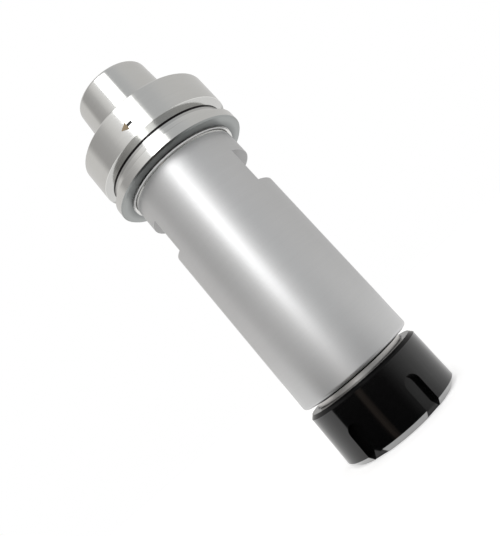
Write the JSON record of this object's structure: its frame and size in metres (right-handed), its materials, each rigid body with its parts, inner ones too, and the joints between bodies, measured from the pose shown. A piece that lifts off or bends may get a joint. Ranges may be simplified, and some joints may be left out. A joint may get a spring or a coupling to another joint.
{
  "type": "collet chuck holder",
  "caption": "Long collet chuck with a hollow taper shank, gripper flange, straight body with wrench flats, slotted clamping nut and slit spring collet.",
  "frame": {"origin": "centre of the nut's front face, which the part stands on", "axes": "+Z along the spindle axis from the nut to the shank; the wrench flats face +X and -X"},
  "size_m": [0.063, 0.063, 0.18],
  "materials": {
    "holder_steel": "ground shank and flange, fine satin body",
    "black_nut": "black oxide, semi-gloss",
    "collet_steel": "ground"
  },
  "bodies": {
    "holder": {"holder_body": "holder_steel"},
    "collet": {"collet": "collet_steel"},
    "nut": {"clamping_nut": "black_nut"}
  },
  "joints": [
    {"name": "collet_slide", "type": "slide", "parent": "holder", "child": "collet", "axis": [0, 0, -1], "range_m": [0, 0.0076]},
    {"name": "nut_spin", "type": "hinge", "parent": "collet", "child": "nut", "pos_m": [0, 0, 0], "axis": [0, 0, -1], "range_deg": [0, 1800]}
  ],
  "couplings": [
    {"joint": "collet_slide", "follows": "nut_spin", "m_per_rad": 0.00023873}
  ]
}
